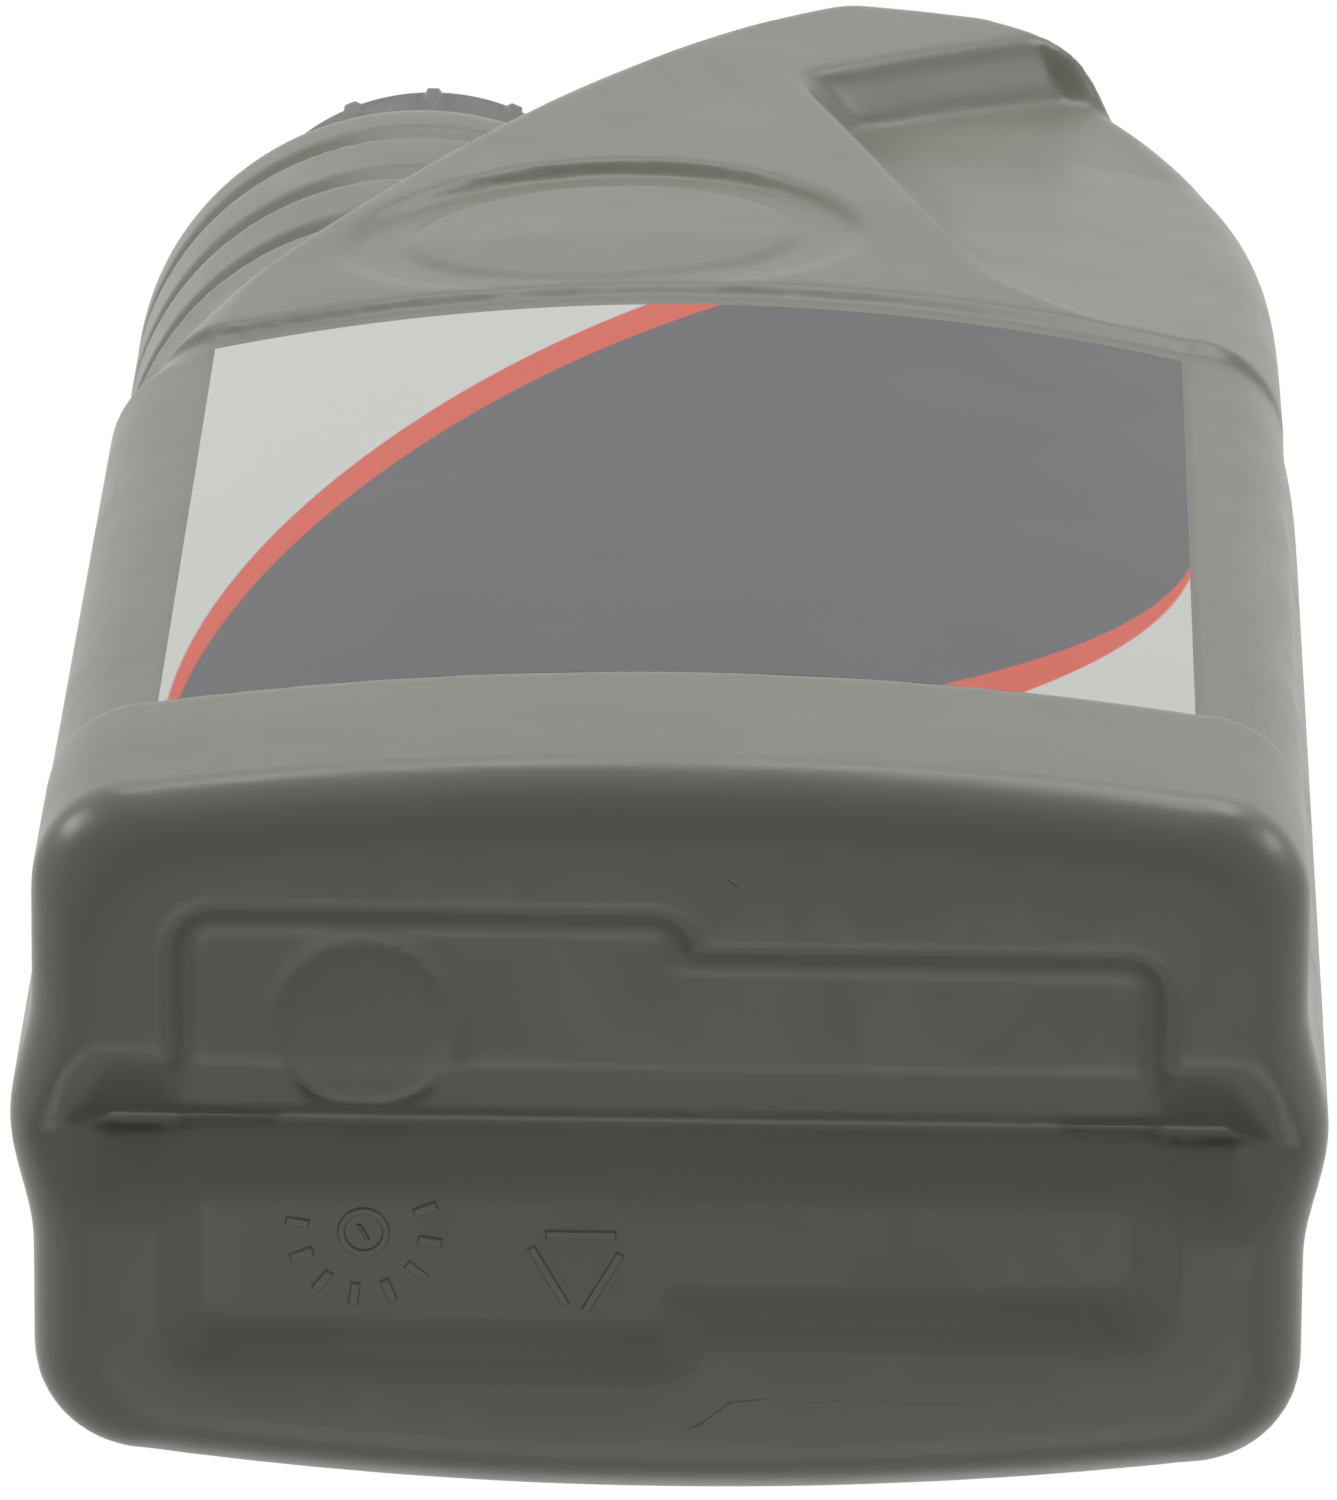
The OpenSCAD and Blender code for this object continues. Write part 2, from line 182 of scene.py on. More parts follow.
GROOVE_TOP = 191.9
GROOVE_GAP = 12.5
GROOVE_DEPTH = 1.1
GROOVE_HEIGHT = 3.2
WELL_R = 23.4
NECK_R = 17.2
BORE_R = 14.8
PITCH = 5.0
THREAD_DEPTH = 1.15
THREAD_ROOT = 2.3
THREAD_LOW = 210.9
THREAD_TURNS = 1.5
WALL = 1.3
CREST_WALL = 3.1
RING_DEPTH = 1.1
FLOOR_Z = 2.5
RECESS_X = 41.8
RECESS_LEFT_Y = 20.6
RECESS_RIGHT_Y = 17.4
RECESS_SLOPE = 3.2
RECESS_R = 4.5
JOG_X = 1.5
CHANNEL_Z = 5.0
CHANNEL_HALF = 7.3
CHANNEL_X = 46.0  # where the channel starts to run out
CHANNEL_END = 4.0
CHANNEL_FADE = 0.75  # share of its depth that it loses there, so that it stays clear of the oil
VEE_HALF = 5.7
SEAM_DEPTH = 0.7  # pinched line along the bottom of the channel
SEAM_HALF = 0.5
RIM_CROWN = 0.06  # the rim stands on its middle line
STEP_RUN = 0.35  # share of the back wall's width that each of its two steps takes
STEP_DROP = 0.45
OVAL_A = 24.0
OVAL_B = 20.0
OVAL_X = -9.0
OVAL_Z = 149.0
OVAL_SINK = 1.4
OVAL_EDGE = 1.4
PLATE_SHARE = 0.76  # size of the bare plate in the oval
PLATE_OUT = 0.6
PLATE_EDGE = 1.2
INSERT_X = -25.0  # mould insert: a disc in the floor, with a fine ring line
INSERT_Y = -8.8
INSERT_R = 7.5
INSERT_SINK = 0.1
INSERT_LINE = 0.25
DATE_Y = 9.0
DATE_R = 7.1
HUB_RING = (1.3, 2.4)
TRIANGLE = (-7.4, 11.6)
TRIANGLE_R = 5.2
MARK_OUT = 0.22  # relief of the marks on the base
MARK_SINK = 0.3
MARK_SLOPE = 0.35
CAP_R = 20.0
CAP_BORE = 18.85
CAP_ROOF = 1.9


def ease(t):
    """Smooth step from 0 to 1."""
    c = np.clip(t, 0, 1)
    return c * c * (3 - 2 * c)


def share(z, low, high):
    """How far z has come from low to high."""
    return np.clip((z - low) / (high - low), 0, 1)


def mix(a, b, t):
    """The value t of the way from a to b."""
    return a + (b - a) * t


def left_flat(z):
    """Left flank: upright, then drawn over to the crest along the slanting panel edge."""
    s = share(z, PANEL_LOW, CREST_Z + CREST_REACH)
    return -SIDE_HALF + (CREST_X + SIDE_HALF) * (1 - (1 - s) ** PANEL_POWER)


def right_flat(z):
    """Right flank: upright, then leaning in, with a rounded nose at the crest."""
    s = share(z, LEAN_LOW, CREST_Z)
    return SIDE_HALF - LEAN_IN * s**LEAN_POWER - NOSE_IN * s**NOSE_POWER


def edge_round(height, radius):
    """How far a quarter round draws in at a height above its start."""
    h = np.clip(radius - np.maximum(0, height), 0, radius)
    return radius - np.sqrt(radius**2 - h**2)


def thumb_edge(z):
    """Edge of the thumb hollow: down along the panel, then along the underside of the grip."""
    flare = THUMB_FLARE * (1 - share(z, THUMB_LOW, THUMB_LOW + THUMB_FLARE_RISE)) ** 2
    below = THUMB_X + (THUMB_HIGH - z) * THUMB_RUN + flare
    return np.where(z < THUMB_HIGH, below, THUMB_X + np.maximum(0, z - THUMB_HIGH - 3) * THUMB_BACK)


def thumb_blend(z):
    """Width over which the hollow sinks in."""
    return mix(*THUMB_SOFT, ease((z - THUMB_HIGH + 4) / 10))


def thumb_in(x, z):
    """Depth of the thumb hollow."""
    return THUMB_DEPTH * share(z, THUMB_LOW, THUMB_HIGH) * ease((x - thumb_edge(z)) / thumb_blend(z))


def label_in(z):
    """Depth of the recess that the label lies in."""
    return LABEL_SINK * ease((z - LABEL_LOW + 1.5) / 1.5) * (1 - ease((z - LABEL_TOP - 3) / 2))


def oval_in(x, z, inset):
    """Depth of the oval hollow, which fades out downwards; outside, a bare plate stands in it."""
    rho = np.hypot((x - OVAL_X) / (OVAL_A + inset), (z - OVAL_Z) / (OVAL_B + inset))
    lean = share(z, OVAL_Z - OVAL_B, OVAL_Z + OVAL_B)
    hollow = OVAL_SINK * lean * ease((1 - rho) * OVAL_B / OVAL_EDGE)
    plate = PLATE_OUT * ease((PLATE_SHARE - rho) * OVAL_B / PLATE_EDGE)
    return hollow if inset else hollow - np.minimum(plate, hollow)


def face_y(x, z, inset=0.0, front=True):
    """Distance of the front or back face from the parting plane."""
    bow = mix(BOW_LOW, BOW_HIGH, share(z, 0, LABEL_TOP)) * (x / (SIDE_HALF - CORNER_R)) ** 2
    hollow = thumb_in(x + 1.5 * inset, z - inset)
    crest = edge_round(CREST_Z - z, CREST_EDGE_R)
    y = HALF_DEPTH - inset - edge_round(z - inset, BASE_EDGE_R) - crest - bow - hollow - label_in(z)
    return y - oval_in(x, z, inset) if front else y


def stations(low, high, z, inset, steps):
    """Places across a face: the panel, the edge of the hollow, then the thumb hollow."""
    gap = min(2.5, (high - low) / 8)
    start = float(thumb_edge(z - inset)) - 1.5 * inset
    edge = max(low + gap, min(high - 3 * gap, start))
    done = min(high - gap, edge + float(thumb_blend(z - inset)))
    return np.concatenate([
        np.linspace(low, edge, steps[0], endpoint=False),
        np.linspace(edge, done, steps[1], endpoint=False),
        np.linspace(done, high, steps[2] + 1),
    ])


def flanks(z, inset):
    """Flat parts of both sides and the radii of their corners, at one height."""
    low = float(left_flat(z + inset) + edge_round(z - inset, BASE_EDGE_R)) + inset
    high = float(right_flat(z + inset) - edge_round(z - inset, BASE_EDGE_R)) - inset
    most = (high - low) * 0.3
    left_r = max(1.0, mix(CORNER_R, PANEL_EDGE_R, float(ease((z - PANEL_LOW) / 25))) - inset)
    right_r = max(1.0, mix(CORNER_R, CORNER_R * 0.66, float(ease((z - 150) / 50))) - inset)
    return low, high, min(left_r, most), min(right_r, most)


def half_outline(z, inset, steps, front):
    """Half of the body's outline at one height, from the left parting line to the right one."""
    low, high, rl, rr = flanks(z, inset)
    xl, xr = low + rl, high - rr
    yl = float(face_y(xl, z, inset, front)) - rl
    yr = float(face_y(xr, z, inset, front)) - rr
    keep = 1 - float(ease((z - THUMB_HIGH) / 20))
    ys = np.linspace(0, yl, steps[3], endpoint=False)
    left = np.stack([low - RIDGE_OUT * (1 - ease(ys / RIDGE_HALF)) * keep, ys], 1)
    a = np.linspace(0, math.pi / 2, steps[4], endpoint=False)
    left_corner = np.stack([xl - rl * np.cos(a), yl + rl * np.sin(a)], 1)
    xs = stations(xl, xr, z, inset, steps)
    face = np.stack([xs, face_y(xs, z, inset, front)], 1)
    a = np.linspace(0, math.pi / 2, steps[4] + 1)[1:]
    right_corner = np.stack([xr + rr * np.sin(a), yr + rr * np.cos(a)], 1)
    ys = np.linspace(yr, 0, steps[3] + 1)[1:]
    right = np.stack([high + RIDGE_OUT * (1 - ease(ys / RIDGE_HALF)) * keep, ys], 1)
    return np.concatenate([left, left_corner, face, right_corner, right])


def outline(z, inset=0.0, steps=(96, 12, 30, 12, 9)):
    """Closed outline at one height, its last point on its first."""
    front = half_outline(z, inset, steps, True) * (1, -1)
    back = half_outline(z, inset, steps, False)[::-1]
    ring = np.concatenate([front, back[1:]])
    if z > SHOULDER_Z:  # room for the cap in the flank of the grip
        radius = WELL_R + inset
        room = NECK_X + np.sqrt(np.maximum(0, radius**2 - ring[:, 1] ** 2))
        inside = (np.abs(ring[:, 1]) < radius) & (ring[:, 0] < room)
        ring[inside, 0] = room[inside]
    return np.column_stack([ring, np.full(len(ring), z)])


def rounded_box(x, y, x0, x1, half, radius):
    """Signed distance from a rectangle with round corners that lies even about the parting plane."""
    dx = np.abs(x - (x0 + x1) / 2) - (x1 - x0) / 2 + radius
    dy = np.abs(y) - half + radius
    return np.hypot(np.maximum(dx, 0), np.maximum(dy, 0)) + np.minimum(np.maximum(dx, dy), 0) - radius


def base_height(x, y):
    """Height of the underside: rim, recessed floor in two widths, and the pinched channel."""
    left = rounded_box(x, y, -RECESS_X, JOG_X + RECESS_SLOPE / 2, RECESS_LEFT_Y, RECESS_R)
    right = rounded_box(x, y, -RECESS_X / 2, RECESS_X, RECESS_RIGHT_Y, RECESS_R)
    apart = np.minimum(left, right)
    deep = -apart / RECESS_SLOPE
    steps = ease(deep / STEP_RUN) + ease((deep - 1 + STEP_RUN) / STEP_RUN)
    stepped = STEP_DROP * steps + (1 - 2 * STEP_DROP) * share(deep, 0.3, 0.7)
    floor = FLOOR_Z * mix(ease(deep), stepped, ease(y / 6))  # the back wall goes down in two steps
    crown = RIM_CROWN * ((np.clip(apart, 0, 10) - 5) / 5) ** 2
    channel = mix(channel_height(x, y, 0.0, True), channel_height(x, y), ease(deep))
    height = np.maximum(np.maximum(floor, crown), channel)
    pad = np.clip(INSERT_R - np.hypot(x - INSERT_X, y - INSERT_Y), -1, 1)
    level = np.minimum(height, FLOOR_Z + INSERT_SINK) + INSERT_LINE * np.exp(-((pad / 0.5) ** 2))
    return np.where((pad > -1) & (y < -1.6), np.where(pad > 0, level, np.maximum(height, level)), height)


def channel_height(x, y, grow=0.0, rim=False):
    """Height of the pinched channel: a flat vee with the seam at its bottom, through floor and rim."""
    left = 1 - CHANNEL_FADE * share(np.abs(x), CHANNEL_X + grow, CHANNEL_X + CHANNEL_END + grow)
    across = np.abs(y)
    vee = np.where(across < VEE_HALF, CHANNEL_Z - (CHANNEL_Z - FLOOR_Z) * across / VEE_HALF, FLOOR_Z)
    lip = ease((CHANNEL_HALF + grow - across) / (CHANNEL_HALF - VEE_HALF))
    seam = SEAM_DEPTH * np.exp(-((y / SEAM_HALF) ** 2))
    if rim:  # straight walls where it cuts the rim
        return (np.maximum(0, CHANNEL_Z * (1 - across / CHANNEL_HALF)) + seam) * left
    return (vee + seam + grow) * lip * left


def levels_between(*spans):
    """Heights from spans of (low, high, count)."""
    return np.concatenate([np.linspace(low, high, count, endpoint=False) for low, high, count in spans])


# Mesh helpers

def deselect():
    """Deselects every object."""
    for obj in bpy.context.selected_objects:
        obj.select_set(False)


def make_active(obj):
    """Makes one object the only selected one."""
    deselect()
    obj.select_set(True)
    bpy.context.view_layer.objects.active = obj


def wrap(name, rows, close=True):
    """Wraps a grid over rows of points in millimetres, merges its seam and poles, turns it outwards."""
    rows = np.asarray(rows, float)
    count_v, count_u = rows.shape[:2]
    deselect()
    bpy.ops.mesh.primitive_grid_add(x_subdivisions=count_u - 1, y_subdivisions=count_v - 1, size=2)
    obj = bpy.context.active_object
    obj.name = obj.data.name = name
    flat = np.empty(len(obj.data.vertices) * 3)
    obj.data.vertices.foreach_get("co", flat)
    flat = flat.reshape(-1, 3)
    u = np.rint((flat[:, 0] + 1) / 2 * (count_u - 1)).astype(int)
    v = np.rint((flat[:, 1] + 1) / 2 * (count_v - 1)).astype(int)
    obj.data.vertices.foreach_set("co", (rows[v, u] * MM).ravel())
    obj.data.update()
    bpy.ops.object.mode_set(mode="EDIT")
    bpy.ops.mesh.select_all(action="SELECT")
    bpy.ops.mesh.remove_doubles(threshold=1e-6)
    if close:
        bpy.ops.mesh.normals_make_consistent(inside=False)
    bpy.ops.object.mode_set(mode="OBJECT")
    return obj


def lathe(name, profile, centre=(NECK_X, 0.0), steps=128):
    """Turns a profile of (radius, height) in millimetres around an upright axis."""
    a = np.linspace(0, 2 * math.pi, steps + 1)
    a[-1] = 0.0
    rows = [
        np.stack([centre[0] + r * np.cos(a), centre[1] + r * np.sin(a), np.full_like(a, z)], 1)
        for r, z in profile
    ]
    return wrap(name, rows)


def arc(centre_r, centre_z, radius, start, end, count):
    """Points of a profile's round stretch, angles in degrees from outwards to upwards."""
    return [
        (centre_r + radius * math.cos(math.radians(t)), centre_z + radius * math.sin(math.radians(t)))
        for t in np.linspace(start, end, count)
    ]


def helix(name, root, crest, width, low, turns, start=0.0):
    """A trapezoid thread ridge wound round the neck's axis, fading out at both ends."""
    steps = int(turns * 72)
    rows = []
    for k in range(steps + 1):
        a = math.radians(start + k * 5)
        z = low + PITCH * k / 72
        grow = min(1.0, min(k, steps - k) / 8)
        tip = mix(root, crest, grow)
        bury = root - math.copysign(0.8, crest - root)
        half = width / 2
        side = [(tip, half * 0.45), (root, half), (bury, half)]
        section = [(r, -dz) for r, dz in reversed(side)] + side
        section.append(section[0])
        rows.append([(NECK_X + r * math.cos(a), r * math.sin(a), z + dz) for r, dz in section])
    ends = [[tuple(np.mean(row[:-1], axis=0))] * len(row) for row in (rows[0], rows[-1])]
    return wrap(name, [ends[0], *rows, ends[1]])


def join(target, *others):
    """Joins objects into the first one."""
    make_active(target)
    for obj in others:
        obj.select_set(True)
    bpy.ops.object.join()
    return target


def apply_modifier(obj, kind, **settings):
    """Adds a modifier with its settings and applies it."""
    make_active(obj)
    modifier = obj.modifiers.new(kind.title(), kind)
    for key, value in settings.items():
        setattr(modifier, key, value)
    bpy.ops.object.modifier_apply(modifier=modifier.name)


def drop_slivers(obj, height=0.05):
    """Dissolves triangles lower than a height in millimetres, and evens out those on flat ground."""
    make_active(obj)
    bpy.ops.object.mode_set(mode="EDIT")
    bpy.ops.mesh.select_all(action="SELECT")
    bpy.ops.mesh.dissolve_degenerate(threshold=height * MM)
    bpy.ops.mesh.quads_convert_to_tris()
    bpy.ops.mesh.beautify_fill(angle_limit=math.radians(2))
    bpy.ops.object.mode_set(mode="OBJECT")


def discard(obj):
    """Removes a helper object."""
    bpy.data.objects.remove(obj)


def smooth(obj, degrees=35):
    """Smooth shading with hard edges past an angle."""
    make_active(obj)
    bpy.ops.object.shade_smooth_by_angle(angle=math.radians(degrees))


def dress(obj, body, slot, material, *nodes):
    """Hangs a finished piece on its body and gives it its material."""
    obj.data.materials.clear()
    obj.data.materials.append(material)
    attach(obj, body)
    if nodes:
        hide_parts(*nodes)


# Materials

def linear(code, alpha=1.0):
    """An sRGB hex colour as linear values."""
    values = [int(code[k : k + 2], 16) / 255 for k in (0, 2, 4)]
    return [v / 12.92 if v <= 0.04045 else ((v + 0.055) / 1.055) ** 2.4 for v in values] + [alpha]


def add_node(owner, kind, links=None, values=None, **settings):
    """Adds a node: settings are its attributes, values its fixed inputs, links its fed inputs."""
    tree = owner.node_tree
    node = tree.nodes.new(kind)
    for key, value in settings.items():
        setattr(node, key, value)
    for key, value in (values or {}).items():
        node.inputs[key].default_value = value
    for key, socket in (links or {}).items():
        tree.links.new(socket, node.inputs[key])
    return node


def new_material(name, colour, roughness, ior=1.5):
    """A material with its shader, colour and gloss."""
    material = bpy.data.materials.new(name)
    material.use_nodes = True
    material.node_tree.nodes.clear()
    output = add_node(material, "ShaderNodeOutputMaterial")
    shader = add_node(
        material,
        "ShaderNodeBsdfPrincipled",
        values={"Base Color": linear(colour), "Roughness": roughness, "IOR": ior},
    )
    material.node_tree.links.new(shader.outputs["BSDF"], output.inputs["Surface"])
    coords = add_node(material, "ShaderNodeTexCoord")
    return material, shader, coords.outputs["Object"]


def grain(material, place, size_mm, detail=2.0):
    """Noise with grains of a real size."""
    node = add_node(
        material,
        "ShaderNodeTexNoise",
        links={"Vector": place},
        values={"Scale": 1 / (size_mm * MM), "Detail": detail},
    )
    return node.outputs["Fac"]


def ramp(material, fac, low, high, start=0.3, end=0.7):
    """A value spread from low to high over part of another one's range."""
    node = add_node(
        material,
        "ShaderNodeMapRange",
        links={"Value": fac},
        values={"From Min": start, "From Max": end, "To Min": low, "To Max": high},
    )
    return node.outputs["Result"]


def blended(material, fac, a, b):
    """Colour mix, each side a hex code or a socket."""
    node = add_node(material, "ShaderNodeMix", data_type="RGBA", links={0: fac})
    for index, side in ((6, a), (7, b)):
        if isinstance(side, str):
            node.inputs[index].default_value = linear(side)
        else:
            material.node_tree.links.new(side, node.inputs[index])
    return node.outputs[2]


def shade_of(code, factor):
    """A hex colour made lighter or darker."""
    return "".join(f"{min(255, round(int(code[k:k + 2], 16) * factor)):02X}" for k in (0, 2, 4))


def blown_polyethylene(colour):
    """Blow-moulded HDPE: satin skin from a sand-blasted mould, so soft gloss with a fine orange peel."""
    material, shader, place = new_material("blown_polyethylene", colour, 0.34, 1.5)
    clouds = ramp(material, grain(material, place, 34, 3.0), 0.0, 1.0)
    tone = blended(material, clouds, shade_of(colour, 0.975), shade_of(colour, 1.025))
    material.node_tree.links.new(tone, shader.inputs["Base Color"])
    gloss = ramp(material, grain(material, place, 9, 3.0), 0.31, 0.38)
    material.node_tree.links.new(gloss, shader.inputs["Roughness"])
    peel = grain(material, place, 0.9, 1.0)
    swell = grain(material, place, 14, 1.0)
    fine = add_node(
        material,
        "ShaderNodeBump",
        links={"Height": peel},
        values={"Strength": 0.06, "Distance": 0.0001},
    )
    broad = add_node(
        material,
        "ShaderNodeBump",
        links={"Height": swell, "Normal": fine.outputs["Normal"]},
        values={"Strength": 0.12, "Distance": 0.0006},
    )
    material.node_tree.links.new(broad.outputs["Normal"], shader.inputs["Normal"])
    return material


def moulded_polypropylene(colour):
    """Injection-moulded PP: darker than the blown body, about as glossy, with a faint flow grain."""
    material, shader, place = new_material("moulded_polypropylene", colour, 0.36, 1.49)
    clouds = ramp(material, grain(material, place, 11, 2.0), 0.0, 1.0)
    tone = blended(material, clouds, shade_of(colour, 0.96), shade_of(colour, 1.04))
    material.node_tree.links.new(tone, shader.inputs["Base Color"])
    gloss = ramp(material, grain(material, place, 3, 2.0), 0.31, 0.41)
    material.node_tree.links.new(gloss, shader.inputs["Roughness"])
    bump = add_node(
        material,
        "ShaderNodeBump",
        links={"Height": grain(material, place, 0.5, 1.0)},
        values={"Strength": 0.08, "Distance": 0.0001},
    )
    material.node_tree.links.new(bump.outputs["Normal"], shader.inputs["Normal"])
    return material


def inside_arc(material, plane, centre, radius, edge=0.12):
    """1 inside an arc that bulges downwards and runs upright over its centre, 0 outside."""
    middle = (centre[0] * MM, 0, centre[1] * MM)
    lower = add_node(
        material,
        "ShaderNodeVectorMath",
        operation="MINIMUM",
        links={0: plane},
        values={1: (1, 1, middle[2])},
    )
    reach = add_node(
        material,
        "ShaderNodeVectorMath",
        operation="DISTANCE",
        links={0: lower.outputs["Vector"]},
        values={1: middle},
    )
    return ramp(material, reach.outputs["Value"], 1.0, 0.0, (radius - edge) * MM, (radius + edge) * MM)


def inside_circle(material, plane, centre, radius, edge=0.12):
    """1 inside a circle on the label, 0 outside, with an edge as soft as the print."""
    middle = (centre[0] * MM, 0, centre[1] * MM)
    reach = add_node(
        material, "ShaderNodeVectorMath", operation="DISTANCE", links={0: plane}, values={1: middle}
    )
    return ramp(material, reach.outputs["Value"], 1.0, 0.0, (radius - edge) * MM, (radius + edge) * MM)


def both(material, a, b):
    """Product of two masks."""
    return add_node(material, "ShaderNodeMath", operation="MULTIPLY", links={0: a, 1: b}).outputs[0]


# Edges of the two curved bands on the label: (x, z) of a circle's centre and its radius, in millimetres
BAND_ARCS = {"outside": ((125.1, 21.0), 167.5), "inside": ((129.2, 12.4), 171.2)}
CORNER_ARCS = {"outside": ((-44.6, 77.2), 88.6), "inside": ((-28.1, 79.5), 72.2)}


def printed_film(paper, field, accent):
    """Printed polypropylene label film: smooth, silky, with crisp fields of colour."""
    material, shader, place = new_material("printed_label_film", paper, 0.3, 1.49)
    plane = add_node(
        material, "ShaderNodeVectorMath", operation="MULTIPLY", links={0: place}, values={1: (1, 0, 1)}
    ).outputs["Vector"]
    bands = {name: inside_circle(material, plane, *circle) for name, circle in BAND_ARCS.items()}
    corners = {name: inside_arc(material, plane, *circle) for name, circle in CORNER_ARCS.items()}
    tone = blended(material, both(material, bands["outside"], corners["outside"]), paper, accent)
    tone = blended(material, both(material, bands["inside"], corners["inside"]), tone, field)
    material.node_tree.links.new(tone, shader.inputs["Base Color"])
    shader.inputs["Specular IOR Level"].default_value = 0.3
    gloss = ramp(material, grain(material, place, 18, 1.0), 0.28, 0.32)
    material.node_tree.links.new(gloss, shader.inputs["Roughness"])
    bump = add_node(
        material,
        "ShaderNodeBump",
        links={"Height": grain(material, place, 16, 0.0)},
        values={"Strength": 0.06, "Distance": 0.0005},
    )
    material.node_tree.links.new(bump.outputs["Normal"], shader.inputs["Normal"])
    return material


def foamed_liner():
    """Foamed polyethylene sealing disc: matt, with closed cells about 0.4 mm across."""
    material, shader, place = new_material("foamed_liner", "E9E5D6", 0.75, 1.45)
    cells = add_node(material, "ShaderNodeTexVoronoi", links={"Vector": place}, values={"Scale": 2500.0})
    bump = add_node(
        material,
        "ShaderNodeBump",
        links={"Height": cells.outputs["Distance"]},
        values={"Strength": 0.3, "Distance": 0.0001},
    )
    material.node_tree.links.new(bump.outputs["Normal"], shader.inputs["Normal"])
    return material


def gear_oil():
    """Clear amber transmission oil: a smooth liquid surface, with faint streaks of depth."""
    material, shader, place = new_material("amber_oil", "C06A16", 0.04, 1.47)
    shader.inputs["Transmission Weight"].default_value = 0.9
    streaks = ramp(material, grain(material, place, 40, 1.0), 0.0, 1.0)
    tone = blended(material, streaks, "B86212", "C8741C")
    material.node_tree.links.new(tone, shader.inputs["Base Color"])
    return material


# Pieces

def body_shell():
    """Outer skin of the body as one closed wrap: underside, sides and crest."""
    rim = outline(0.0)
    underside = []
    for s in levels_between((0, 0.9, 76), (0.9, 1, 6)):
        ring = rim * (s, s, 0)
        ring[:, 2] = base_height(ring[:, 0], ring[:, 1])
        underside.append(ring)
    angles = np.radians(np.linspace(0, 90, 12))
    low = BASE_EDGE_R * (1 - np.cos(angles[:-1]))
    middle = levels_between(
        (BASE_EDGE_R, LABEL_LOW - 2, 14),
        (LABEL_LOW - 2, LABEL_LOW + 2, 12),
        (LABEL_LOW + 2, LABEL_TOP, 46),
        (LABEL_TOP, LABEL_TOP + 6, 16),
        (LABEL_TOP + 6, OVAL_Z + OVAL_B + 2, 56),
        (OVAL_Z + OVAL_B + 2, SHOULDER_Z, 40),
        (SHOULDER_Z + 0.02, CREST_Z - CREST_EDGE_R, 20),
    )
    high = CREST_Z - CREST_EDGE_R * (1 - np.sin(angles))
    sides = [outline(float(z)) for z in np.concatenate([low, middle, high])]
    for ring in sides[: len(low) + 1]:  # the channel runs out through the rounding of the rim
        ring[:, 2] = np.maximum(ring[:, 2], channel_height(ring[:, 0], ring[:, 1], 0.0, True))
    top = sides[-1]
    centre = (top.max(0) + top.min(0)) / 2
    crest = [centre + (top - centre) * s for s in np.linspace(1, 0, 14)[1:]]
    return wrap("bottle_skin", [*underside, *sides, *crest])


def tower_form(inset=0.0, grooved=True):
    """The round tower under the neck, with its ring grooves."""
    r = TOWER_R - inset
    profile = [(0, TOWER_LOW), (r, TOWER_LOW)]
    if grooved:
        for k in (2, 1, 0):
            z = GROOVE_TOP - k * GROOVE_GAP
            profile += [(r, z - GROOVE_HEIGHT * 0.25), (r - GROOVE_DEPTH, z)]
            profile += [(r, z + GROOVE_HEIGHT * 0.75)]
    top = SHOULDER_Z - inset
    profile += arc(r - SHOULDER_R, top - SHOULDER_R, SHOULDER_R, 0, 90, 8)
    profile += [(0, top)]
    return lathe("tower", profile, steps=160)


def neck_form():
    """Neck with the bead that holds the tamper band down."""
    bead = BAND_TOP - 0.6
    profile = [(0, SHOULDER_Z - 3), (NECK_R, SHOULDER_Z - 3), (NECK_R, bead - 0.8), (NECK_R + 0.8, bead)]
    profile += [(NECK_R, bead + 0.8), (NECK_R, NECK_TOP), (0, NECK_TOP)]
    return lathe("neck", profile, steps=160)


def cavity_form():
    """Hollow inside of the bottle: the body's inner skin, the tower's and the bore."""
    steps = (40, 8, 16, 6, 6)
    levels = np.concatenate([
        WALL + (BASE_EDGE_R - WALL) * (1 - np.cos(np.radians(np.linspace(0, 90, 8)))),
        levels_between((LABEL_LOW - 1.5, LABEL_TOP, 6), (LABEL_TOP, CREST_Z - CREST_WALL, 24)),
        [CREST_Z - CREST_WALL],
    ])
    rings = [outline(float(z), WALL, steps) for z in levels]
    for ring in rings[:8]:
        ring[:, 2] = np.maximum(ring[:, 2], channel_height(ring[:, 0], ring[:, 1], WALL) + 0.4)
    floor = []
    for s in np.linspace(0, 1, 56, endpoint=False):
        ring = rings[0] * (s, s, 0)
        grown = channel_height(ring[:, 0], ring[:, 1], WALL) + 0.4
        ring[:, 2] = np.maximum(base_height(ring[:, 0], ring[:, 1]) + WALL + 0.15, grown)
        floor.append(ring)
    top = rings[-1]
    centre = (top.max(0) + top.min(0)) / 2
    skin = wrap("cavity", [*floor, *rings, top * 0 + centre])
    start, end = SHOULDER_Z - 12, NECK_TOP + 2
    bore = lathe("bore", [(0, start), (BORE_R, start), (BORE_R, end), (0, end)])
    for part in (tower_form(WALL + RING_DEPTH, False), bore):
        apply_modifier(skin, "BOOLEAN", operation="UNION", object=part, solver="EXACT")
        discard(part)
    return skin


